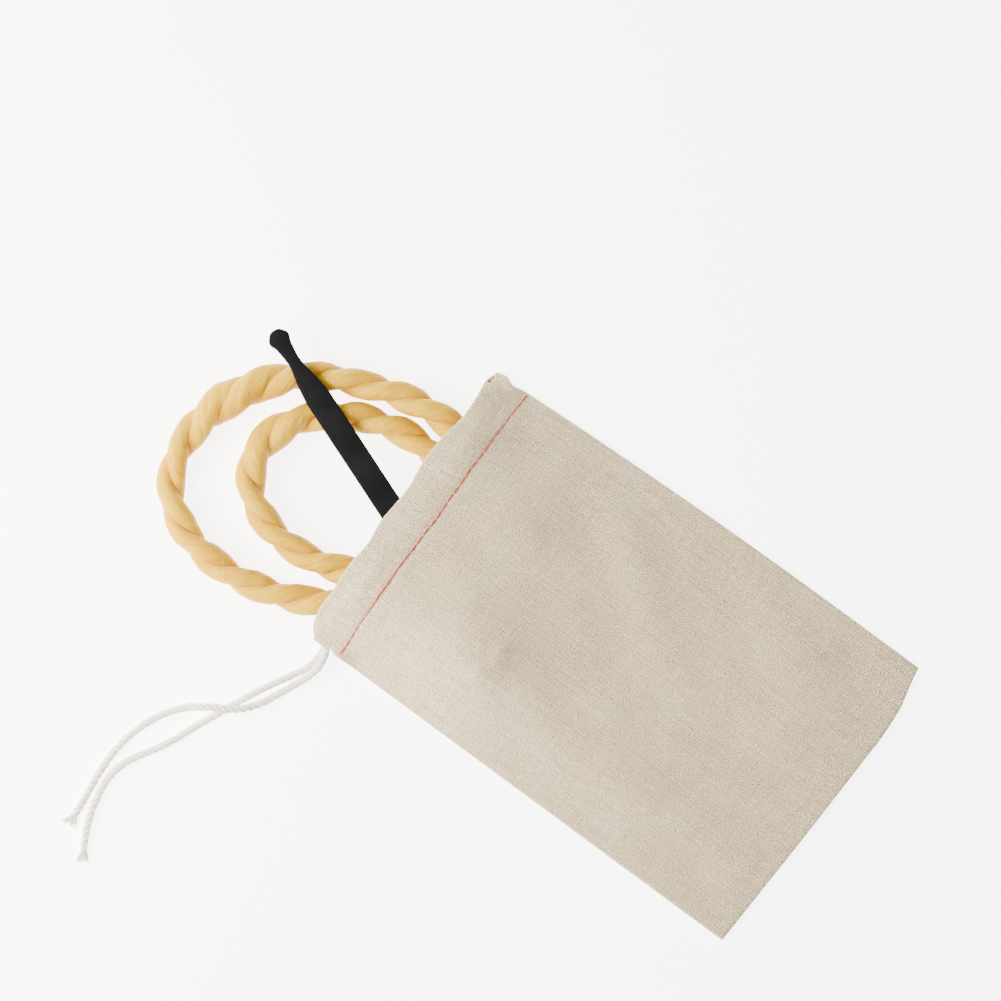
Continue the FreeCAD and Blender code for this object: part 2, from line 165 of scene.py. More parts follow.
# Drawstring tails, the routes of the CAD model
STRING_FREE = 2.4
STRING_LAY = 6.6
STRING_PLY = 0.62
STRING_PLY_OFFSET = 0.6
PRESSED_PLY = 0.43              # radius of a ply inside the channel, where the string is pressed
PRESSED_PLY_OFFSET = 0.42
STRING_SIDES = 12
PRESSED_SIDES = 8
CHANNEL_REACH = (-44.0, 45.0)   # where the string inside the channel follows the front of the cloth
CHANNEL_TURN = ((-46.6, 3.1), (-47.3, 2.2), (-46.4, 1.5))  # y and height, round the folded edge
CHANNEL_BACK = (-43.0, -30.0, -14.0, 2.0, 18.0, 32.0, 42.0)
FRAY_FIBRES = 64
FRAY_STEPS = 9
FRAY_SIDES = 5
TAIL_UNDER = (
    UNDER_EXIT, (70.1, 52.2, 1.3), (70.9, 56.6, 1.2), (73.9, 61.9, 1.2), (77.3, 67.6, 1.2),
    (80.3, 73.4, 1.2), (83.0, 79.4, 1.2), (85.9, 85.6, 1.2), (88.7, 91.8, 1.2), (91.3, 98.4, 1.2),
    (94.9, 104.8, 1.2), (98.9, 110.9, 1.2), (100.8, 117.8, 1.2), (99.9, 125.4, 1.2),
    (98.0, 132.6, 1.2), (95.0, 138.8, 1.2), (91.9, 144.1, 1.2))
TAIL_OVER = (
    OVER_EXIT, (68.4, 52.4, 4.0), (68.7, 56.8, 2.6), (70.8, 62.2, 1.3), (73.4, 67.8, 1.2),
    (76.3, 74.0, 1.6), (80.8, 79.4, 4.2), (89.0, 83.7, 4.2), (95.0, 88.5, 1.6), (99.4, 95.0, 1.2),
    (102.5, 102.6, 1.2), (103.9, 110.9, 1.2), (103.7, 119.8, 1.2), (102.6, 128.8, 1.2),
    (101.9, 137.4, 1.2))


# ---------------------------------------------------------------- small helpers

def smooth(value):
    """Rise from 0 to 1 with level ends; works on numbers and arrays."""
    value = np.clip(value, 0.0, 1.0)
    return value * value * (3 - 2 * value)


def unit(vectors):
    """Each row scaled to length one."""
    return vectors / np.linalg.norm(vectors, axis=-1, keepdims=True)


def through(places, values, wanted):
    """A smooth curve through the values (Catmull-Rom), read at the wanted places."""
    places = np.asarray(places, float)
    values = np.asarray(values, float)
    shape = (-1,) + (1,) * (values.ndim - 1)
    slopes = np.gradient(values, places, axis=0)
    index = np.clip(np.searchsorted(places, wanted) - 1, 0, len(places) - 2)
    gap = (places[index + 1] - places[index]).reshape(shape)
    t = ((wanted - places[index]).reshape(shape)) / gap
    rise = t * t * (3 - 2 * t)
    return (values[index] * (1 - rise) + values[index + 1] * rise
            + slopes[index] * gap * t * (1 - t) ** 2 - slopes[index + 1] * gap * t * t * (1 - t))


def noise_at(points, scale, seed=0.0):
    """Smooth noise, about -1 to 1, at points in millimetres."""
    shift = Vector((seed, seed * 0.7, -seed))
    flat = np.asarray(points, float).reshape(-1, 3) / scale
    values = [noise.noise(Vector(point) + shift) for point in flat]
    return np.array(values).reshape(np.asarray(points).shape[:-1])


def new_object(name, vertices, faces, material, smooth_faces=True):
    """A mesh object from vertices in millimetres."""
    mesh = bpy.data.meshes.new(name)
    mesh.from_pydata((np.asarray(vertices, float) * MM).tolist(), [], faces)
    mesh.polygons.foreach_set("use_smooth", [smooth_faces] * len(mesh.polygons))
    mesh.update()
    if material:
        mesh.materials.append(material)
    thing = bpy.data.objects.new(name, mesh)
    bpy.context.scene.collection.objects.link(thing)
    return thing


def set_values(mesh, name, values):
    """A named number on each vertex, for a material to read."""
    attribute = mesh.attributes.new(name, "FLOAT", "POINT")
    attribute.data.foreach_set("value", np.asarray(values, np.float32).ravel())


def flat_map(mesh, spots):
    """A UV map in millimetres laid out flat, one spot for each vertex."""
    layer = mesh.uv_layers.new(name="flat")
    corner = np.empty(len(mesh.loops), np.int32)
    mesh.loops.foreach_get("vertex_index", corner)
    layer.data.foreach_set("uv", np.asarray(spots, np.float32)[corner].ravel())


def grid_faces(rows, columns, first=0, closed=False):
    """Quads between neighbouring rows of vertices."""
    faces = []
    width = columns if closed else columns - 1
    for row in range(rows - 1):
        for column in range(width):
            a = first + row * columns + column
            b = first + row * columns + (column + 1) % columns
            faces.append((a, b, b + columns, a + columns))
    return faces


# ---------------------------------------------------------------- cords

def route_line(name, points, spacing):
    """Evenly spaced points of the NURBS line that has the route's points as its control points."""
    curve = bpy.data.curves.new(name, "CURVE")
    curve.dimensions = "3D"
    curve.resolution_u = 24
    spline = curve.splines.new("NURBS")
    spline.points.add(len(points) - 1)
    for place, point in zip(spline.points, points):
        place.co = (*[value * MM for value in point], 1.0)
    spline.order_u = 3
    spline.use_endpoint_u = True
    holder = bpy.data.objects.new(name, curve)
    bpy.context.scene.collection.objects.link(holder)
    mesh = bpy.data.meshes.new_from_object(holder)
    line = np.array([vertex.co for vertex in mesh.vertices]) / MM
    bpy.data.objects.remove(holder)
    bpy.data.meshes.remove(mesh)
    reach = np.concatenate([[0.0], np.cumsum(np.linalg.norm(np.diff(line, axis=0), axis=1))])
    places = np.linspace(0.0, reach[-1], int(reach[-1] / spacing) + 1)
    return np.stack([np.interp(places, reach, line[:, axis]) for axis in range(3)], axis=1), places


def across_line(line):
    """Directions across a line that never stands upright: level, and square to that."""
    ahead = unit(np.gradient(line, axis=0))
    level = unit(np.cross(np.array([0.0, 0.0, 1.0]), ahead))
    return level, np.cross(ahead, level)


def ring_angles(sides):
    """Angles of the points of one ring."""
    return np.arange(sides) * 2 * math.pi / sides


def sweep(centre, outward, radii):
    """Vertices of a tube: rings round a line, with a radius for each point of each ring."""
    ahead = unit(np.gradient(centre, axis=0))
    side = unit(np.cross(ahead, outward))
    out = np.cross(side, ahead)
    angle = ring_angles(radii.shape[1])
    ring = out[:, None] * np.cos(angle)[None, :, None] + side[:, None] * np.sin(angle)[None, :, None]
    return centre[:, None] + ring * radii[:, :, None]


def tube_faces(rings, sides, first):
    """Quads of a tube and one cap at each end."""
    faces = grid_faces(rings, sides, first, closed=True)
    faces.append(tuple(first + side for side in reversed(range(sides))))
    last = first + (rings - 1) * sides
    faces.append(tuple(last + side for side in range(sides)))
    return faces


def rounded_ends(places, over):
    """Factor that closes a tube's radius over the given length at both its ends."""
    from_end = np.minimum(places, places[-1] - places)
    share = np.clip(from_end / over, 0, 1)
    return np.sqrt(np.clip(1 - (1 - share) ** 2, 0.02, 1))


def strand_lines(line, places, count, offset, lay, hand, phase):
    """Centre line and outward direction of each strand laid round a line."""
    level, rise = across_line(line)
    strands = []
    for index in range(count):
        angle = hand * 2 * math.pi * places / lay + phase + 2 * math.pi * index / count
        outward = level * np.cos(angle)[:, None] + rise * np.sin(angle)[:, None]
        strands.append((line + outward * np.asarray(offset).reshape(-1, 1), outward))
    return strands


def tube_flat(places, sides, radius):
    """Where a tube's vertices lie when it is laid out flat."""
    return np.stack([np.repeat(places, sides), np.tile(ring_angles(sides) * radius, len(places))], axis=1)


class Tubes:
    """Gathers tubes into one mesh."""

    def __init__(self):
        self.vertices = []
        self.faces = []
        self.count = 0

    def add(self, ring, mirrored=False):
        """Take in one tube's rings of vertices."""
        faces = tube_faces(ring.shape[0], ring.shape[1], self.count)
        if mirrored:
            faces = [tuple(reversed(face)) for face in faces]
        self.faces += faces
        self.vertices.append(ring.reshape(-1, 3))
        self.count += ring.shape[0] * ring.shape[1]

    def made(self, name, material):
        """The mesh object of all the tubes."""
        return new_object(name, np.concatenate(self.vertices), self.faces, material)


# ---------------------------------------------------------------- rope

def turn_point(turn, count):
    """A point on one tilted oval turn; past the mouth its depth is stretched or drawn in."""
    tilt = math.radians(turn["tilt"])
    deepest = math.pi - math.atan2(turn["short"] * math.sin(tilt), turn["long"] * math.cos(tilt))
    angle = deepest + 2 * math.pi * count
    along_long = turn["long"] * math.cos(angle)
    along_short = turn["short"] * math.sin(angle)
    x = turn["centre"][0] + along_long * math.cos(tilt) - along_short * math.sin(tilt)
    y = turn["centre"][1] + along_long * math.sin(tilt) + along_short * math.cos(tilt)
    if x < MOUTH_X:
        x -= turn["reach"] * (MOUTH_X - x) ** 2
    return x, y


def rope_height(x):
    """Height of the rope's centre: over the back channel inside, on the surface outside."""
    high = CLOTH + STRING_FLAT + CLOTH + ROPE_GAP + ROPE / 2
    share = min(1.0, max(0.0, (RAMP_LOW_X - x) / (RAMP_LOW_X - RAMP_HIGH_X)))
    return ROPE / 2 + (high - ROPE / 2) * share


def rope_route():
    """The coil's centre line, from its outer end to its inner one."""
    total = round((ROPE_END - ROPE_START) * ROPE_POINTS)
    points = []
    for step in range(total + 1):
        count = ROPE_START + (ROPE_END - ROPE_START) * step / total
        shift = float(smooth((count - SHIFT_START) / (SHIFT_END - SHIFT_START)))
        outer = turn_point(OUTER_TURN, count)
        inner = turn_point(INNER_TURN, count)
        x = outer[0] * (1 - shift) + inner[0] * shift
        y = outer[1] * (1 - shift) + inner[1] * shift
        points.append((x, y, rope_height(x)))
    return points


def rope_line():
    """The coil's centre line as it shows, places along it, and how fat the rope is there, 0 to 1."""
    line, places = route_line("rope_route", rope_route(), 0.5)
    away = unit(line[:, :2] - OUTER_TURN["centre"])
    push = ROPE_PUSH * smooth((line[:, 0] - PUSH_FROM_X) / 20) * smooth((PUSH_TO_Y - line[:, 1]) / 20)
    push = push * smooth((PUSH_TO_PLACE - places) / 40)
    line[:, :2] += away * push[:, None]
    gap = np.hypot(line[:, 0] - FAT_PLACE[0], line[:, 1] - FAT_PLACE[1])
    fat = 1 - smooth(gap / FAT_REACH)
    line[:, 2] += fat * FAT_SHARE * ROPE / 2
    return line, places, fat


def strand_radii(places, angle, fat, index):
    """A strand's radius at each point of each ring, and its wrinkles there, about -1 to 1."""
    swell = 1 + 0.035 * np.sin(places / 6.3 + 2.1 * index) + 0.03 * np.sin(places / 2.9 + index)
    radius = (ROPE_STRAND + fat * (FAT_SHARE * ROPE / 2 + FAT_STRAND)) * swell
    radius = radius * rounded_ends(places, 3.0)
    spots = np.empty((len(places), len(angle), 3))
    spots[:, :, 0] = np.cos(angle) * WRINKLE_GIRTH
    spots[:, :, 1] = np.sin(angle) * WRINKLE_GIRTH
    spots[:, :, 2] = places[:, None]
    wrinkles = noise_at(spots * (1, 1, 0.42), 1.5, 3.1 + index)
    lumps = noise_at(spots * (1, 1, 0.8), 3.6, 9.7 + index)
    radii = radius[:, None] * (1 + 0.05 * wrinkles * (1 - 0.5 * fat)[:, None] + 0.075 * lumps)
    return radii, wrinkles


def rope(material):
    """Two wax-coated strands laid round each other, left-handed, wrinkled and swollen between creases."""
    line, places, fat = rope_line()
    offset = ROPE_STRAND_OFFSET * (1 - 0.25 * fat)
    spots = np.stack([places, 0 * places, 0 * places], axis=1)
    lay_drift = 0.23 + 0.45 * noise_at(spots, 34.0, 1.7)
    angle = ring_angles(ROPE_SIDES)
    tubes = Tubes()
    crease = []
    flat = []
    strands = strand_lines(line, places, 2, offset, ROPE_LAY, -1, lay_drift)
    for index, (centre, outward) in enumerate(strands):
        radii, wrinkles = strand_radii(places, angle, fat, index)
        ring = sweep(centre, outward, radii)
        ring[:, :, 2] = np.maximum(ring[:, :, 2], 0.02)
        tubes.add(ring)
        # painted shade: the strand's side that faces the other strand, down in the valley between them, and
        # the hollows of its wrinkles
        inner = smooth((0.42 - np.cos(angle)) / 0.9)
        crease.append((inner + 0.35 * np.clip(-wrinkles, 0, 1)).ravel())
        flat.append(tube_flat(places, ROPE_SIDES, ROPE_STRAND))
    thing = tubes.made("rope", material)
    set_values(thing.data, "crease", np.concatenate(crease))
    flat_map(thing.data, np.concatenate(flat))
    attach(thing, "coil")
    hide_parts("rope_coil")


# ---------------------------------------------------------------- drawstring

def fray(line, root, fray_length, fray_width, rng):
    """The loose fibres past the string's last whole point: each one's line and length."""
    level, rise = across_line(line)
    ahead = unit(line[-1] - root)
    steps = np.linspace(0, 1, FRAY_STEPS)[:, None]
    fibres = []
    for _ in range(FRAY_FIBRES):
        angle = rng.uniform(0, 2 * math.pi)
        start_reach = 0.85 * STRING_FREE / 2 * math.sqrt(rng.uniform(0, 1))
        spread = rng.uniform(-1, 1) * fray_width / 2
        lift = rng.uniform(0.15, 2.1)
        run = fray_length * rng.uniform(0.72, 1.0)
        begin = root - ahead * 1.2 + level[-1] * math.cos(angle) * start_reach
        begin = begin + rise[-1] * math.sin(angle) * start_reach * 0.9
        finish = root + ahead * run + level[-1] * spread
        finish[2] = lift
        middle = (begin + finish) / 2 + ahead * 0.6 - level[-1] * spread * 0.18
        middle[2] = max(0.3, (begin[2] + lift) / 2)
        fibre = begin * (1 - steps) ** 2 + 2 * middle * steps * (1 - steps) + finish * steps ** 2
        fibre[:, 2] = np.maximum(fibre[:, 2], 0.14)
        fibres.append((fibre, run))
    return fibres


def string_tail(name, node, route, fray_length, fray_width, material, seed):
    """Three-ply string whose end has come apart into fibres."""
    line, places = route_line(name + "_route", route, 0.35)
    length = places[-1]
    whole = places <= length - fray_length
    kept = places[whole]
    tubes = Tubes()
    flat = []
    plies = strand_lines(line[whole], kept, 3, STRING_PLY_OFFSET, STRING_LAY, 1, seed)
    for index, (centre, outward) in enumerate(plies):
        wobble = noise_at(np.stack([kept, 0 * kept + index, 0 * kept], axis=1), 2.3, seed)
        radii = np.repeat((STRING_PLY * (1 + 0.09 * wobble))[:, None], STRING_SIDES, axis=1)
        ring = sweep(centre, outward, radii)
        ring[:, :, 2] = np.maximum(ring[:, :, 2], 0.02)
        tubes.add(ring)
        flat.append(tube_flat(kept, STRING_SIDES, STRING_PLY))
    rng = np.random.default_rng(int(seed * 100))
    upright = np.tile(np.array([0.0, 0.0, 1.0]), (FRAY_STEPS, 1))
    thin = np.repeat(np.linspace(0.15, 0.07, FRAY_STEPS)[:, None], FRAY_SIDES, axis=1)
    steps = np.repeat(np.linspace(0, 1, FRAY_STEPS), FRAY_SIDES)
    for index, (fibre, run) in enumerate(fray(line, line[whole][-1], fray_length, fray_width, rng)):
        tubes.add(sweep(fibre, upright, thin))
        flat.append(np.stack([steps * run, np.full(len(steps), index * 0.7)], axis=1))
    thing = tubes.made(name, material)
    flat_map(thing.data, np.concatenate(flat))
    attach(thing, "pouch")
    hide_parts(node)


# ---------------------------------------------------------------- pouch cloth

def along(x):
    """Share of the pouch's length from its bottom, 0 to 1."""
    return (x - BOTTOM_X) / POUCH_LENGTH


def seam_edge(x):
    """The sewn long edge, +Y side."""
    notch = -SEAM_NOTCH * np.exp(-((x - STRING_X + 1.4) / 1.7) ** 2)
    return POUCH_WIDTH / 2 - MOUTH_NARROWING * along(x) + notch


def fold_edge(x):
    """The folded long edge, -Y side, nipped in at the drawstring and flared at the mouth."""
    nip = -FOLD_NOTCH * np.exp(-((x - STRING_X + 1.0) / 1.7) ** 2)
    flare = FOLD_FLARE * np.exp(-((x - STRING_X - 3.8) / 2.0) ** 2)
    bow = FOLD_BOW * np.sin(math.pi * along(x))
    return -(POUCH_WIDTH / 2 - MOUTH_NARROWING * along(x) + bow + nip + flare)


def fold_radius(x):
    """Radius of the rolled fold, larger where it holds the drawstring."""
    return RIM + RIM_AT_STRING * channel_lift(x) * smooth((x - HEM_X + 8) / 8)


def channel_lift(x):
    """How far the channel's two plies stand apart round the drawstring, 0 to 1."""
    low = smooth((x - HEM_X) / (STRING_X - HEM_X))
    high = smooth((MOUTH_X - x) / (MOUTH_X - STRING_X))
    return np.where(x <= STRING_X, low, high)


def edge_curve(points, y):
    """How far a wavy edge stands out at each y, from its (y, size) points."""
    places, sizes = zip(*points)
    return through(places, sizes, np.clip(y, places[0], places[-1]).ravel()).reshape(np.shape(y))


def bottom_shift(x, y):
    """The bottom edge's blunt bulge, steepest at the folded corner, fading out up the pouch."""
    return -edge_curve(BOTTOM_BULGE, y) * (1 - smooth(along(x) / 0.25))


def mouth_shift(x, y):
    """The mouth's slight waves and rounded corners, fading out down the pouch."""
    return edge_curve(MOUTH_WAVES, y) * smooth((x - (HEM_X - 4)) / (MOUTH_X - HEM_X + 4)) ** 2


def rope_top(x, y, shift, line):
    """Height of the rope's top over a grid with the coil slid out by a shift; 0 beside it."""
    top = np.zeros_like(x)
    for start in range(0, len(line), 60):
        part = line[start:start + 60]
        gap = (x[..., None] - part[:, 0] - shift) ** 2 + (y[..., None] - part[:, 1]) ** 2
        inside = np.clip((ROPE / 2) ** 2 - gap, 0, None)
        height = np.where(inside > 0, part[:, 2] + np.sqrt(inside), 0.0)
        top = np.maximum(top, height.max(axis=-1))
    return top


def spatula_top(x, y, shift):
    """The greatest height of the spatula's top over a grid as it slides; 0 beside its track."""
    heading = math.radians(SPATULA_HEADING)
    from_x = x - SPATULA_TIP[0] - shift
    from_y = y - SPATULA_TIP[1]
    run = from_x * math.cos(heading) + from_y * math.sin(heading)
    side = from_y * math.cos(heading) - from_x * math.sin(heading)
    height = SPATULA_TIP_HEIGHT + SPATULA_THICKNESS
    height = height + SPATULA_SLOPE * np.minimum(SPATULA_LENGTH, run + SPATULA_TRAVEL)
    over = (np.abs(side) < SPATULA_HALF_WIDTHS[-1][1] + 0.6) & (run < SPATULA_LENGTH + 0.6)
    return np.where(over, height, 0.0)


def contents_top(x, y):
    """Height of the rope and the spatula, wherever they go as they slide out, at points of a grid."""
    line = np.array(rope_route())
    places = np.arange(len(line))
    line = through(places, line, np.linspace(0, len(line) - 1, 420))
    top = np.zeros_like(x)
    for shift in np.linspace(0, COIL_TRAVEL, 26):
        top = np.maximum(top, rope_top(x, y, shift, line))
        top = np.maximum(top, spatula_top(x, y, shift))
    return top


def spread_peaks(field, rounds):
    """Widen a height field's high places by one cell a round."""
    for _ in range(rounds):
        wide = field.copy()
        wide[1:] = np.maximum(wide[1:], field[:-1])
        wide[:-1] = np.maximum(wide[:-1], field[1:])
        wide[:, 1:] = np.maximum(wide[:, 1:], field[:, :-1])
        wide[:, :-1] = np.maximum(wide[:, :-1], field[:, 1:])
        field = wide
    return field


def relax(field, floor, rounds, free_mouth=True):
    """Even a height field out over a floor, its border held but for the mouth's row if that is free."""
    for _ in range(rounds):
        middle = (field[:-2, 1:-1] + field[2:, 1:-1] + field[1:-1, :-2] + field[1:-1, 2:]) / 4
        field[1:-1, 1:-1] = np.maximum(middle, floor[1:-1, 1:-1])
        if free_mouth:
            last = (field[-1, :-2] + field[-1, 2:] + 2 * field[-2, 1:-1]) / 4
            field[-1, 1:-1] = np.maximum(last, floor[-1, 1:-1])
    return field


def bed_height(x, y, rest_x):
    """What the front of the cloth lies on: the contents, bridged softly, and the plies at the mouth."""
    under = contents_top(x, y)
    under = spread_peaks(np.where(under > 0, under + CONTENT_GAP, 0.0), 1)
    shoulders = relax(spread_peaks(under, SHOULDER_CELLS), 0 * under, SHOULDER_ROUNDS)
    short = spread_peaks(np.maximum(under - shoulders, 0), SHOULDER_CELLS)
    shoulders = shoulders + relax(short, 0 * short, SHOULDER_ROUNDS)
    inland = smooth(np.minimum(y - y[:, :1], y[:, -1:] - y) / SHOULDER_INLAND)
    under = np.maximum(under, shoulders * inland)
    near_mouth = smooth((rest_x - (HEM_X - 8)) / 8)
    facing = (CLOTH + 0.2) * near_mouth + STRING_FLAT * channel_lift(rest_x)
    return np.maximum(under + facing * (under > 0), CLOTH * 1.5 + 0.35 + facing)


def front_base():
    """Where the front of the cloth lies before it settles: x, y, z and what is under it."""
    rows = int(POUCH_LENGTH / SIM_STEP) + 1
    columns = int(CUT_WIDTH / SIM_STEP) + 1
    rest_x = np.linspace(BOTTOM_X + RIM, MOUTH_X - RIM, rows)[:, None] * np.ones(columns)[None]
    across = np.linspace(0, 1, columns)[None] * np.ones(rows)[:, None]
    y = (fold_edge(rest_x) + fold_radius(rest_x)) * (1 - across) + (seam_edge(rest_x) - RIM) * across
    x = rest_x + bottom_shift(rest_x, y) + mouth_shift(rest_x, y)
    under = bed_height(x, y, rest_x)
    under[:, 0] = under[:, -1] = under[0] = 0
    z = np.full_like(x, CLOTH * 2.5 + 0.5)
    z[:, 0] = CLOTH / 2 + 2 * fold_radius(rest_x[:, 0])
    z[:, -1] = CLOTH / 2 + 2 * RIM + SLIT_LIFT * smooth((rest_x[:, 0] - 58) / 9)
    z[0] = CLOTH / 2 + 2 * RIM
    z[1:, 1:-1] = np.maximum(z[1:, 1:-1], under[1:, 1:-1])
    z = relax(z, under, RELAX_ROUNDS)
    return x, y, z, np.maximum(under, under * (1 - TAUT) + z * TAUT)


def cloth_to_settle(x, y, z):
    """The cloth for the simulation: its start, its flat size, and its border held."""
    rows, columns = x.shape
    start = np.stack([x, y, z + 0.3 * smooth(np.minimum(1, (z - 1.7) / 3))], axis=-1)
    cloth = new_object("cloth_sim", (start * SIM_SCALE).reshape(-1, 3), grid_faces(rows, columns), None)
    flat_x = np.linspace(0, FLAT_LENGTH, rows)[:, None] * np.ones(columns)[None]
    flat_y = np.linspace(0, FLAT_WIDTH, columns)[None] * np.ones(rows)[:, None]
    cloth.shape_key_add(name="start")
    rest = cloth.shape_key_add(name="flat")
    flat = np.stack([flat_x, flat_y, 0 * flat_x], axis=-1) * SIM_SCALE * MM
    rest.data.foreach_set("co", flat.astype(np.float32).ravel())
    rest.value = 0.0
    held = cloth.vertex_groups.new(name="held")
    border = np.zeros((rows, columns), bool)
    border[0] = border[:, 0] = border[:, -1] = True
    held.add(np.flatnonzero(border.ravel()).tolist(), 1.0, "REPLACE")
    modifier = cloth.modifiers.new("cloth", "CLOTH")
    settings = modifier.settings
    settings.quality = 6
    settings.mass = 0.15
    settings.tension_stiffness = 30
    settings.compression_stiffness = 30
    settings.shear_stiffness = 12
    settings.bending_stiffness = 1.2
    settings.air_damping = 4
    settings.vertex_group_mass = "held"
    settings.rest_shape_key = rest
    modifier.collision_settings.use_self_collision = False
    modifier.collision_settings.distance_min = 0.001
    modifier.collision_settings.collision_quality = 3
    return cloth


def settle_cloth(x, y, z, under):
    """Let the front of the cloth settle over its contents by cloth simulation; returns its points."""
    bed = new_object("cloth_bed", (np.stack([x, y, under], axis=-1) * SIM_SCALE).reshape(-1, 3),
                     grid_faces(*x.shape), None)
    bed.modifiers.new("collision", "COLLISION")
    bed.collision.thickness_outer = 0.001
    bed.collision.cloth_friction = 8
    cloth = cloth_to_settle(x, y, z)
    scene = bpy.context.scene
    for step in range(1, SIM_FRAMES + 1):
        scene.frame_set(step)
    shown = cloth.evaluated_get(bpy.context.evaluated_depsgraph_get())
    settled = np.array([vertex.co for vertex in shown.data.vertices]).reshape(*x.shape, 3)
    scene.frame_set(1)
    for helper in (cloth, bed):
        bpy.data.objects.remove(helper)
    return settled / MM / SIM_SCALE


def front_surface():
    """Middle of the front ply as a grid of points."""
    x, y, z, under = front_base()
    points = np.stack([x, y, z], axis=-1)
    points = points + np.clip(settle_cloth(x, y, z, under) - points, -SIM_LIMIT, SIM_LIMIT)
    height = np.maximum(points[:, :, 2], under)
    points[:, :, 2] = np.maximum(relax(height, under, 6, False), under)
    return points


def rows_wanted():
    """Flat distances from the bottom rim at which the final cloth has a row, closer at the mouth."""
    coarse = np.arange(0.0, FLAT_LENGTH - 17.0, 1.2)
    fine = np.linspace(coarse[-1] + 0.7, FLAT_LENGTH, 30)
    return np.concatenate([coarse, fine])


def hem_pull(x, y):
    """How the stitch row draws the cloth down into a line of small puckers."""
    near = np.exp(-((x - HEM_X) / 0.75) ** 2)
    wide = np.exp(-((x - HEM_X) / 4.2) ** 2)
    pucker = np.cos(2 * math.pi * y / STITCH_PITCH)
    return -0.28 * near * (1 + 0.35 * pucker) - 0.13 * wide * pucker


def cloth_mesh():
    """The whole cloth as one sheet: front, rolled fold, back, and the plies turned in at the mouth."""
    base = front_surface()
    rows, columns = base.shape[:2]
    wanted = rows_wanted()
    front = through(np.linspace(0, FLAT_LENGTH, rows), base, wanted)
    x = front[:, :, 0]
    front[:, :, 2] += hem_pull(x, front[:, :, 1])
    front[:, :, 2] += broad_waves(x, front[:, :, 1])
    straight_x = BOTTOM_X + RIM + wanted
    strips = []
    flats = []

    def add(place, source, y=None, z=None):
        """Take in a strip of points, moved across if y and z are given, and its place on the flat cloth."""
        strip = source.copy()
        if y is not None:
            strip[:, 1] = y
            strip[:, 2] = z
        strips.append(strip)
        flats.append(place)

    # seam rim of the front, from its turned-in edge up to the flat
    top = front[:, -1]
    for step, (out, drop) in enumerate(reversed(FRONT_SEAM_RIM)):
        add(-RIM_FLAT * (1 - step / 5), top, top[:, 1] + out, top[:, 2] - drop)
    column_places = np.linspace(0, FLAT_WIDTH, columns)
    for column in range(columns - 1, -1, -1):
        add(FLAT_WIDTH - column_places[column], front[:, column])
    # the fold, half a turn down to the back
    radius = fold_radius(straight_x)
    centre_y = front[:, 0, 1]
    centre_z = front[:, 0, 2] - radius
    for step in range(1, 8):
        angle = math.pi * step / 8
        add(FLAT_WIDTH + RIM * angle, front[:, 0],
            centre_y - radius * math.sin(angle), centre_z + radius * math.cos(angle))
    # the back, flat on the surface
    for step in range(BACK_STRIPS + 1):
        share = step / BACK_STRIPS
        add(FLAT_WIDTH + RIM * math.pi + share * FLAT_WIDTH, front[:, 0],
            front[:, 0, 1] * (1 - share) + front[:, -1, 1] * share, BACK_HEIGHT)
        y = strips[-1][:, 1]
        strips[-1][:, 0] = straight_x + bottom_shift(straight_x, y) + mouth_shift(straight_x, y)
    last_back = strips[-1]
    for out, lift in BACK_SEAM_RIM:
        add(flats[-1] + RIM_STEP, last_back, last_back[:, 1] + out, last_back[:, 2] + lift)
    return finish_cloth(np.stack(strips, axis=1), np.array(flats), wanted, columns)


def broad_waves(x, y):
    """Long soft undulations of the cloth between its edges."""
    inside = smooth((y - fold_edge(x)) / 9) * smooth((seam_edge(x) - y) / 9) * smooth((x - BOTTOM_X) / 12)
    fade = 1 - smooth((x - (HEM_X - 14)) / 12)
    spots = np.stack([x, y * 1.5, 0 * x], axis=-1)
    waves = 0.6 * noise_at(spots, 17.0, 4.0)
    for middle_x, middle_y, turn, length, width, height in BROAD_FOLDS:
        cosine = math.cos(math.radians(turn))
        sine = math.sin(math.radians(turn))
        run = ((x - middle_x) * cosine + (y - middle_y) * sine) / length
        side = ((y - middle_y) * cosine - (x - middle_x) * sine) / width
        waves = waves + height * np.exp(-run ** 2 - side ** 2)
    return inside * fade * waves


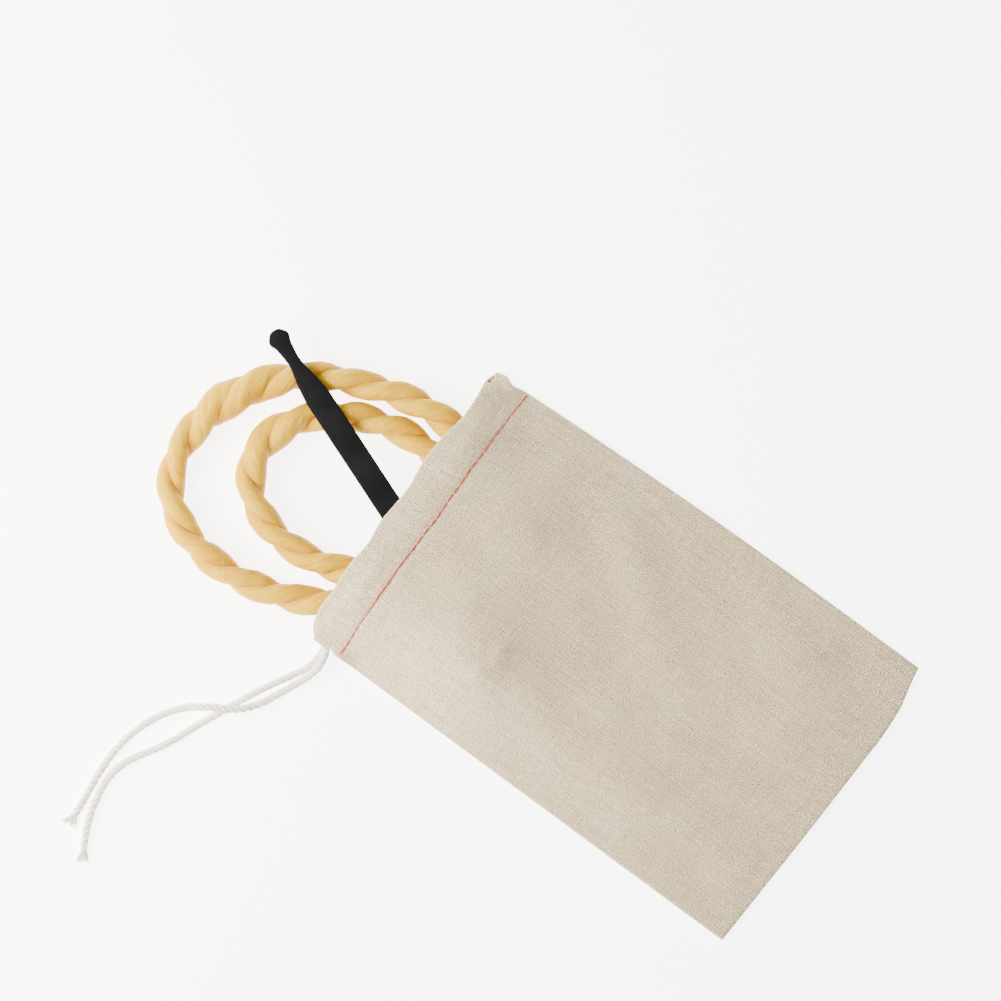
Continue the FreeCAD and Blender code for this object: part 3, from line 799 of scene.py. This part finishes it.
def finish_cloth(sheet, flat_across, wanted, front_columns):
    """Roll the bottom rim in, fold the mouth, and add the turned-in plies."""
    across_count = sheet.shape[1]
    is_front = np.arange(across_count) < len(FRONT_SEAM_RIM) + front_columns
    rows = []
    flat_rows = []
    for out, drop in reversed(BOTTOM_RIM):
        row = sheet[0].copy()
        row[:, 0] -= out
        top = np.maximum(row[:, 2] - drop, 1.02)
        bottom = np.minimum(row[:, 2] + drop * 0.92, 0.96)
        row[:, 2] = np.where(row[:, 2] > 1.0, top, bottom)
        rows.append(row)
        flat_rows.append(-RIM_FLAT + RIM_STEP * len(rows))
    rows += list(sheet)
    flat_rows += list(wanted)
    # mouth fold
    edge = sheet[-1]
    inside = np.where(is_front, -1.0, 1.0)
    for step in range(1, 6):
        angle = math.pi * step / 5
        row = edge.copy()
        row[:, 0] += MOUTH_FOLD * math.sin(angle)
        row[:, 2] += inside * MOUTH_FOLD * (1 - math.cos(angle))
        rows.append(row)
        flat_rows.append(wanted[-1] + MOUTH_FOLD * angle)
    solid_rows = len(rows)
    # the ply turned in, down to just past the stitch row
    for index in range(len(wanted) - 2, 0, -1):
        place = BOTTOM_X + RIM + wanted[index]
        if place <= HEM_X - 0.6:
            break
        row = sheet[index].copy()
        apart = smooth((place - HEM_X) / 3)
        gap = 2 * MOUTH_FOLD * apart + 0.5 * (1 - apart)
        row[:, 2] += inside * (gap + (STRING_FLAT - 0.1) * channel_lift(place))
        rows.append(row)
        flat_rows.append(wanted[-1] + MOUTH_FOLD * math.pi + wanted[-1] - wanted[index])
    faces = []
    turned_in = np.abs(edge[:, 1]) < FACING_HALF
    for row in range(len(rows) - 1):
        for column in range(across_count - 1):
            if row >= solid_rows - 1 and not (turned_in[column] and turned_in[column + 1]):
                continue
            a = row * across_count + column
            faces.append((a, a + 1, a + 1 + across_count, a + across_count))
    flat = np.stack([np.repeat(np.array(flat_rows), across_count), np.tile(flat_across, len(rows))], axis=1)
    return np.stack(rows).reshape(-1, 3), faces, flat, sheet


def pouch_cloth(material):
    """The sewn cotton cloth of the pouch; returns its rows of points, for what is sewn to it."""
    points, faces, flat, sheet = cloth_mesh()
    used = np.zeros(len(points), bool)
    used[np.array(faces).ravel()] = True
    number = np.cumsum(used) - 1
    faces = [tuple(int(number[corner]) for corner in face) for face in faces]
    thing = new_object("pouch_cloth", points[used], faces, material)
    flat_map(thing.data, flat[used])
    thickness = thing.modifiers.new("thickness", "SOLIDIFY")
    thickness.thickness = CLOTH_SHOWN * MM
    thickness.offset = 0.0
    finer = thing.modifiers.new("finer", "SUBSURF")
    finer.levels = 1
    finer.render_levels = 1
    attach(thing, "pouch")
    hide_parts("front_panel", "back_panel", "front_channel_facing", "back_channel_facing")
    return sheet


# ---------------------------------------------------------------- stitches

def capsule(start, end, radius):
    """A stitch: a short thread with rounded ends that dips into the cloth at both."""
    share = np.linspace(0, 1, STITCH_STEPS)
    centre = start * (1 - share)[:, None] + end * share[:, None]
    centre[:, 2] += 0.07 * np.sin(math.pi * share)
    ends = np.sqrt(np.clip(1 - (2 * share - 1) ** 6, 0.05, 1))
    radii = np.repeat((radius * ends)[:, None], STITCH_SIDES, axis=1)
    return sweep(centre, np.tile(np.array([0.0, 0.0, 1.0]), (STITCH_STEPS, 1)), radii)


def stitch_row(name, node, points, side, material):
    """Stitches laid along a line of points on the cloth's surface."""
    reach = np.concatenate([[0.0], np.cumsum(np.linalg.norm(np.diff(points, axis=0), axis=1))])
    count = int(reach[-1] / STITCH_PITCH)
    tubes = Tubes()
    for index in range(count):
        begin = (index + 0.08) * reach[-1] / count
        ends = []
        for place in (begin, begin + STITCH_LENGTH):
            end = np.array([np.interp(place, reach, points[:, axis]) for axis in range(3)])
            end[0] += 0.13 * math.sin(place / 4.7) + 0.09 * math.sin(place / 1.9 + 1)
            ends.append(end)
        ring = capsule(ends[0], ends[1], THREAD_HEM / 2)
        if side < 0:
            ring[:, :, 2] = np.maximum(2 * ends[0][2] - ring[:, :, 2], 0.01)
        tubes.add(ring, side < 0)
    thing = tubes.made(name, material)
    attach(thing, "pouch")
    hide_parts(node)


def row_at(sheet, x):
    """Number of the cloth's row that lies nearest to x."""
    return int(np.argmin(np.abs(sheet[:, sheet.shape[1] // 4, 0] - x)))


def hem_rows(sheet, material):
    """The red rows that close the drawstring channel, on the front and on the back."""
    line = sheet[row_at(sheet, HEM_X)]
    front = line[len(FRONT_SEAM_RIM):len(line) // 2].copy()
    front[:, 2] += CLOTH_SHOWN / 2 + THREAD_HEM * 0.45
    stitch_row("hem_stitches_front", "front_hem_stitches", front, 1, material)
    back = np.array([(HEM_X, y, BACK_ROW_HEIGHT) for y in (-FACING_HALF, FACING_HALF)])
    stitch_row("hem_stitches_back", "back_hem_stitches", back, -1, material)


def channel_route(sheet):
    """The drawstring's way in through the front of the channel, round the fold and back out."""
    row = row_at(sheet, STRING_X)
    half = sheet.shape[1] // 2
    near = sheet[row - 2:row + 3, :half, 2].min(axis=0)
    low_near = np.minimum(near, np.minimum(np.roll(near, 2), np.roll(near, -2)))
    front = sheet[row, :half].copy()
    front[:, 2] = low_near - (CLOTH / 2 + STRING_FLAT / 2 + 0.1)
    front = front[(front[:, 1] > CHANNEL_REACH[0]) & (front[:, 1] < CHANNEL_REACH[1])]
    front[:, 0] = STRING_X
    turn = [(STRING_X, y, height) for y, height in CHANNEL_TURN]
    back = [(STRING_X, y, CLOTH + STRING_FLAT / 2) for y in CHANNEL_BACK]
    return [OVER_EXIT, *front[::3].tolist(), *turn, *back, UNDER_EXIT]


def channel_string(sheet, material):
    """The drawstring where it runs inside the channel."""
    line, places = route_line("channel_route", channel_route(sheet), 0.7)
    ahead = unit(np.gradient(line, axis=0))
    up_pouch = np.array([1.0, 0.0, 0.0])
    across = unit(np.cross(up_pouch, ahead))
    tubes = Tubes()
    for index in range(3):
        angle = 2 * math.pi * (places / STRING_LAY + index / 3)
        outward = across * np.cos(angle)[:, None] + up_pouch * np.sin(angle)[:, None]
        radii = np.full((len(line), PRESSED_SIDES), PRESSED_PLY)
        tubes.add(sweep(line + outward * PRESSED_PLY_OFFSET, outward, radii))
    thing = tubes.made("string_in_channel", material)
    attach(thing, "pouch")
    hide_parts("drawstring_channel_run")


# ---------------------------------------------------------------- spatula

def spatula_outline():
    """Distances from the tip, and half the spatula's width and thickness at each."""
    full = SPATULA_HALF_WIDTHS[-1][1]
    heel_runs = SPATULA_LENGTH - full + full * np.sin(np.linspace(0.0, 0.5, 16) * math.pi)
    runs = np.concatenate([np.linspace(-0.7, 0.0, 5), np.linspace(0.4, 23.0, 50),
                           np.linspace(25.0, 112.0, 44), heel_runs])
    places, sizes = zip(*SPATULA_HALF_WIDTHS)
    half = through(places, sizes, np.clip(runs, 0, places[-1]))
    half = np.where(runs > places[-1], full, half)
    tip = runs < 0
    half[tip] = sizes[0] * np.sqrt(np.clip(1 - (runs[tip] / 0.72) ** 2, 0.03, 1))
    heel = runs > SPATULA_LENGTH - full
    half[heel] = np.sqrt(np.clip(full ** 2 - (runs[heel] - SPATULA_LENGTH + full) ** 2, 0.02, None))
    place, reach, share = SPATULA_WAIST
    thick = SPATULA_THICKNESS / 2 * (1 - share * np.exp(-((runs - place) / reach) ** 2))
    return runs, half, thick


def spatula(material):
    """Flat moulded stick with a paddle tip, a thinner waist, soft edges and a round heel."""
    runs, half, thick = spatula_outline()
    section = []
    for quarter, (sign_y, sign_z) in enumerate(((1, 1), (-1, 1), (-1, -1), (1, -1))):
        for step in range(5):
            angle = (quarter * 0.5 + step / 8) * math.pi
            section.append((sign_y, sign_z, math.cos(angle), math.sin(angle)))
    vertices = []
    for run, width, depth in zip(runs, half, thick):
        roll = min(SPATULA_EDGE, width * 0.8, depth * 0.8)
        for sign_y, sign_z, cosine, sine in section:
            y = sign_y * (width - roll) + roll * cosine
            vertices.append((run, y, sign_z * (depth - roll) + roll * sine))
    points = np.array(vertices)
    points[:, 2] += SPATULA_THICKNESS / 2
    tilt = math.atan(SPATULA_SLOPE)
    run = points[:, 0] * math.cos(tilt) - points[:, 2] * math.sin(tilt)
    rise = points[:, 0] * math.sin(tilt) + points[:, 2] * math.cos(tilt)
    heading = math.radians(SPATULA_HEADING)
    x = run * math.cos(heading) - points[:, 1] * math.sin(heading) + SPATULA_TIP[0]
    y = run * math.sin(heading) + points[:, 1] * math.cos(heading) + SPATULA_TIP[1]
    placed = np.stack([x, y, rise + SPATULA_TIP_HEIGHT], axis=1)
    thing = new_object("spatula_blade", placed, tube_faces(len(runs), len(section), 0), material)
    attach(thing, "spatula")
    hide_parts("spatula")


# ---------------------------------------------------------------- materials

class Nodes:
    """Short names for building a material's nodes."""

    def __init__(self, name):
        self.material = bpy.data.materials.new(name)
        self.material.use_nodes = True
        self.tree = self.material.node_tree
        self.shader = self.tree.nodes["Principled BSDF"]

    def add(self, kind, inputs=None, **settings):
        """A node with its settings and its inputs, which are values or other nodes' outputs."""
        node = self.tree.nodes.new(kind)
        for key, value in settings.items():
            setattr(node, key, value)
        for key, value in (inputs or {}).items():
            self.put(node.inputs[key], value)
        return node

    def put(self, socket, value):
        """Link an output to a socket, or set its value."""
        if isinstance(value, bpy.types.NodeSocket):
            self.tree.links.new(value, socket)
        else:
            socket.default_value = value

    def surface(self, values):
        """Set or link the shader's sockets; returns the material."""
        for key, value in values.items():
            self.put(self.shader.inputs[key], value)
        return self.material

    def object_place(self):
        """Object coordinates in millimetres."""
        return self.scaled(self.add("ShaderNodeTexCoord").outputs["Object"], (1000.0, 1000.0, 1000.0))

    def math(self, operation, first, second=0.0, third=0.0):
        """One arithmetic step."""
        node = self.add("ShaderNodeMath", operation=operation)
        self.put(node.inputs[0], first)
        self.put(node.inputs[1], second)
        self.put(node.inputs[2], third)
        return node.outputs[0]

    def noise(self, place, scale, detail=3.0, rough=0.55, distortion=0.0):
        """Noise from 0 to 1."""
        node = self.add("ShaderNodeTexNoise", {"Vector": place, "Scale": scale, "Detail": detail,
                                               "Roughness": rough, "Distortion": distortion})
        return node.outputs["Fac"]

    def ramp(self, value, low, high):
        """Rescale low..high to 0..1."""
        node = self.add("ShaderNodeMapRange", {"Value": value, "From Min": low, "From Max": high})
        return node.outputs[0]

    def mix(self, share, first, second):
        """Blend two colours."""
        node = self.add("ShaderNodeMix", data_type="RGBA")
        self.put(node.inputs[0], share)
        self.put(node.inputs[6], first)
        self.put(node.inputs[7], second)
        return node.outputs[2]

    def bump(self, height, distance, strength=1.0):
        """Surface relief; distance in millimetres."""
        node = self.add("ShaderNodeBump", {"Height": height, "Distance": distance * MM, "Strength": strength})
        self.put(self.shader.inputs["Normal"], node.outputs[0])

    def scaled(self, place, factors):
        """A place stretched along its axes."""
        node = self.add("ShaderNodeVectorMath", {0: place, 1: factors}, operation="MULTIPLY")
        return node.outputs[0]


def cotton_cloth(name, flat):
    """Undyed plain weave with uneven threads, slubs, small dark specks and painted shade in the weave's
    hollows. Places are in millimetres.
    """
    nodes = Nodes(name)
    source = nodes.add("ShaderNodeUVMap", uv_map="flat").outputs[0] if flat else nodes.object_place()
    drift = nodes.noise(source, 0.35, 2.0)
    parts = nodes.add("ShaderNodeSeparateXYZ", {0: source})
    uneven = nodes.noise(source, 1.3, 2.0, 0.6)
    lengthwise = nodes.math("MULTIPLY_ADD", drift, 2.2, parts.outputs[0])
    lengthwise = nodes.math("MULTIPLY_ADD", uneven, 1.1, lengthwise)
    crosswise = nodes.math("MULTIPLY_ADD", drift, 2.6, parts.outputs[1])
    crosswise = nodes.math("MULTIPLY_ADD", uneven, -1.3, crosswise)
    warp = nodes.math("SINE", nodes.math("MULTIPLY", crosswise, 2 * math.pi / 0.92))
    weft = nodes.math("SINE", nodes.math("MULTIPLY", lengthwise, 2 * math.pi / 0.74))
    checks = nodes.math("MULTIPLY", warp, weft)
    warp_slubs = nodes.noise(nodes.scaled(source, (0.05, 1.1, 1.0)), 1.0, 3.0, 0.7)
    weft_slubs = nodes.noise(nodes.scaled(source, (1.3, 0.07, 1.0)), 1.0, 3.0, 0.7)
    fuzz = nodes.noise(source, 4.5, 3.0, 0.7)
    weave = nodes.math("MULTIPLY_ADD", checks, 0.8, nodes.math("MULTIPLY", warp, 0.3))
    weave = nodes.math("ADD", weave, nodes.math("MULTIPLY", warp_slubs, 1.5))
    weave = nodes.math("ADD", weave, nodes.math("MULTIPLY", weft_slubs, 1.1))
    weave = nodes.math("ADD", weave, nodes.math("MULTIPLY", fuzz, 0.5))
    nodes.bump(weave, 0.22, 0.9)
    blotch = nodes.ramp(nodes.noise(source, 0.035, 3.0), 0.3, 0.7)
    pink = nodes.ramp(nodes.noise(source, 0.05, 2.0), 0.48, 0.75)
    colour = nodes.mix(blotch, (0.90, 0.715, 0.41, 1), (0.99, 0.80, 0.51, 1))
    colour = nodes.mix(nodes.math("MULTIPLY", pink, 0.5), colour, (0.96, 0.70, 0.48, 1))
    # painted shade: the colour darkens where the weave's relief is low, in the hollows between threads
    painted_weave_shade = nodes.ramp(weave, 2.1, 1.0)
    colour = nodes.mix(nodes.math("MULTIPLY", painted_weave_shade, 0.75), colour, (0.34, 0.25, 0.14, 1))
    specks = nodes.add("ShaderNodeTexVoronoi", {"Vector": source, "Scale": 0.14}, feature="F1")
    speck = nodes.math("LESS_THAN", specks.outputs["Distance"], 0.045)
    colour = nodes.mix(nodes.math("MULTIPLY", speck, 0.6), colour, (0.16, 0.11, 0.07, 1))
    roughness = nodes.math("MULTIPLY_ADD", fuzz, 0.12, 0.82)
    return nodes.surface({"Base Color": colour, "Roughness": roughness,
                          "Sheen Weight": 0.15, "Specular IOR Level": 0.2})


def twisted_thread(name, colour, dark, lay):
    """Thread or string: fine fibres that run slantwise, darker in random patches and, as painted shade, in
    the grooves between fibres. Places are in millimetres.
    """
    nodes = Nodes(name)
    source = nodes.object_place()
    settings = {"Vector": source, "Scale": 1.0 / lay, "Distortion": 5.0, "Detail": 3.0, "Detail Scale": 2.0}
    fibres = nodes.add("ShaderNodeTexWave", settings, wave_type="BANDS", bands_direction="DIAGONAL")
    fuzz = nodes.noise(source, 5.0, 3.0, 0.7)
    height = nodes.math("ADD", fibres.outputs["Fac"], fuzz)
    nodes.bump(height, 0.05, 0.8)
    patch = nodes.noise(source, 0.4, 2.0)
    # the dark colour shows in random patches and, as painted shade, where the fibres' relief is low
    share = nodes.ramp(nodes.math("MULTIPLY_ADD", patch, 0.5, nodes.math("MULTIPLY", height, 0.5)), 0.3, 1.1)
    roughness = nodes.math("MULTIPLY_ADD", fuzz, 0.15, 0.75)
    return nodes.surface({"Base Color": nodes.mix(share, dark, colour), "Roughness": roughness,
                          "Sheen Weight": 0.2, "Specular IOR Level": 0.2})


def waxed_rope():
    """Honey-coloured wax over fibre: translucent and wrinkled, with painted shade in darker orange in the
    creases and the folds' hollows, and painted yellow highlights on the ripples' crests.
    """
    nodes = Nodes("waxed_rope")
    source = nodes.add("ShaderNodeUVMap", uv_map="flat").outputs[0]
    place = nodes.object_place()
    crease = nodes.add("ShaderNodeAttribute", attribute_name="crease").outputs["Fac"]
    long_folds = nodes.noise(nodes.scaled(source, (0.16, 0.55, 1.0)), 1.0, 4.0, 0.6, 0.8)
    ripples = nodes.noise(place, 0.75, 4.0, 0.6, 0.5)
    grain = nodes.noise(place, 2.6, 3.0, 0.6)
    height = nodes.math("MULTIPLY_ADD", long_folds, 1.1, nodes.math("MULTIPLY", ripples, 0.6))
    height = nodes.math("MULTIPLY_ADD", grain, 0.16, height)
    nodes.bump(height, 0.9, 0.5)
    patch = nodes.ramp(nodes.noise(place, 0.12, 3.0), 0.32, 0.68)
    colour = nodes.mix(patch, (0.61, 0.315, 0.0, 1), (0.61, 0.38, 0.008, 1))
    # painted shade: darker orange in the hollows of the long folds
    fold_hollow_shade = nodes.ramp(long_folds, 0.50, 0.30)
    colour = nodes.mix(nodes.math("MULTIPLY", fold_hollow_shade, 0.6), colour, (0.55, 0.225, 0.0, 1))
    # painted highlight: paler yellow on the crests of the ripples
    pale = nodes.ramp(ripples, 0.56, 0.72)
    colour = nodes.mix(nodes.math("MULTIPLY", pale, 0.6), colour, (0.67, 0.49, 0.06, 1))
    # painted shade: darker in the valleys between the strands and in the wrinkles' hollows
    colour = nodes.mix(nodes.math("MULTIPLY", crease, 0.5), colour, (0.45, 0.16, 0.0, 1))
    roughness = nodes.math("MULTIPLY_ADD", grain, 0.2, 0.42)
    return nodes.surface({"Base Color": colour, "Roughness": roughness, "Subsurface Weight": 0.2,
                          "Subsurface Radius": (1.0, 0.5, 0.18), "Subsurface Scale": 1.6 * MM,
                          "Specular IOR Level": 0.16})


def black_plastic():
    """Matte near-black moulded plastic with fine grain, rubs and a few light scratches."""
    nodes = Nodes("black_plastic")
    place = nodes.object_place()
    settings = {"Vector": place, "Angle": -math.radians(SPATULA_HEADING)}
    turned = nodes.add("ShaderNodeVectorRotate", settings, rotation_type="Z_AXIS").outputs[0]
    grain = nodes.noise(place, 6.0, 3.0, 0.6)
    rubs = nodes.noise(nodes.scaled(turned, (0.06, 2.2, 1.0)), 1.0, 4.0, 0.7)
    clouds = nodes.noise(place, 0.09, 3.0)
    nodes.bump(nodes.math("MULTIPLY_ADD", rubs, 0.6, grain), 0.03, 0.6)
    colour = nodes.mix(nodes.ramp(clouds, 0.35, 0.7), (0.002, 0.002, 0.0022, 1), (0.0045, 0.0045, 0.005, 1))
    scratch = nodes.ramp(rubs, 0.66, 0.74)
    colour = nodes.mix(nodes.math("MULTIPLY", scratch, 0.35), colour, (0.022, 0.022, 0.026, 1))
    roughness = nodes.math("MULTIPLY_ADD", rubs, 0.25, 0.5)
    return nodes.surface({"Base Color": colour, "Roughness": roughness, "Specular IOR Level": 0.07})


def floor_material():
    """Plain pale studio paper."""
    nodes = Nodes("pale_floor")
    tone = nodes.noise(nodes.add("ShaderNodeTexCoord").outputs["Object"], 40.0, 3.0)
    colour = nodes.mix(tone, (0.90, 0.90, 0.90, 1), (0.92, 0.92, 0.92, 1))
    return nodes.surface({"Base Color": colour, "Roughness": 0.9, "Emission Color": (1, 1, 1, 1),
                          "Emission Strength": FLOOR_GLOW})


# ---------------------------------------------------------------- stage

def camera():
    """Straight above the object, turned so that the pouch lies slantwise."""
    data = bpy.data.cameras.new("camera")
    data.sensor_width = SENSOR
    data.lens = SENSOR * CAMERA_DISTANCE / (VIEW_WIDTH * MM)
    thing = bpy.data.objects.new("camera", data)
    spot = [value * MM for value in CAMERA_SPOT]
    thing.location = (spot[0], spot[1], spot[2] + CAMERA_DISTANCE)
    thing.rotation_euler = (0.0, 0.0, math.radians(CAMERA_TURN))
    bpy.context.scene.collection.objects.link(thing)
    bpy.context.scene.camera = thing


def area_light(name, place, size, power, colour):
    """A soft light of the given size in metres."""
    data = bpy.data.lights.new(name, "AREA")
    data.shape = "SQUARE"
    data.size = size
    data.energy = power
    data.color = colour
    thing = bpy.data.objects.new(name, data)
    thing.location = place
    direction = Vector(LIGHT_AIM) - Vector(place)
    thing.rotation_euler = direction.to_track_quat("-Z", "Y").to_euler()
    bpy.context.scene.collection.objects.link(thing)


def stage():
    """Floor, lights and the pale surroundings."""
    corners = [(sign_x * FLOOR_HALF, sign_y * FLOOR_HALF, 0)
               for sign_x, sign_y in ((-1, -1), (1, -1), (1, 1), (-1, 1))]
    floor = new_object("floor", corners, [(0, 1, 2, 3)], floor_material(), False)
    for light in LIGHTS:
        area_light(*light)
    world = bpy.data.worlds.new("surroundings")
    world.use_nodes = True
    background = world.node_tree.nodes["Background"]
    background.inputs[0].default_value = (1.0, 1.0, 1.0, 1)
    background.inputs[1].default_value = SURROUNDINGS
    bpy.context.scene.world = world


# ---------------------------------------------------------------- the object

camera()
string = twisted_thread("cotton_string", (0.95, 0.89, 0.77, 1), (0.70, 0.62, 0.49, 1), 0.9)
string_tail("string_tail_under", "drawstring_tail_under", TAIL_UNDER, 5.2, 4.0, string, 1.3)
string_tail("string_tail_over", "drawstring_tail_over", TAIL_OVER, 4.2, 5.6, string, 2.6)
rope(waxed_rope())
spatula(black_plastic())
cloth_sheet = pouch_cloth(cotton_cloth("cotton_cloth", True))
red = twisted_thread("red_thread", (0.62, 0.06, 0.025, 1), (0.38, 0.025, 0.01, 1), 0.35)
hem_rows(cloth_sheet, red)
channel_string(cloth_sheet, string)

hidden_cloth = cotton_cloth("cotton_cloth_inside", False)
pale = twisted_thread("pale_thread", (0.80, 0.74, 0.64, 1), (0.55, 0.48, 0.38, 1), 0.35)
for node, material in (("side_seam_allowance", hidden_cloth), ("bottom_seam_allowance", hidden_cloth),
                       ("side_seam_stitches", pale), ("bottom_seam_stitches", pale)):
    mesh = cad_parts[node].data
    if mesh.materials:
        mesh.materials[0] = material
    else:
        mesh.materials.append(material)

stage()
bpy.context.view_layer.update()
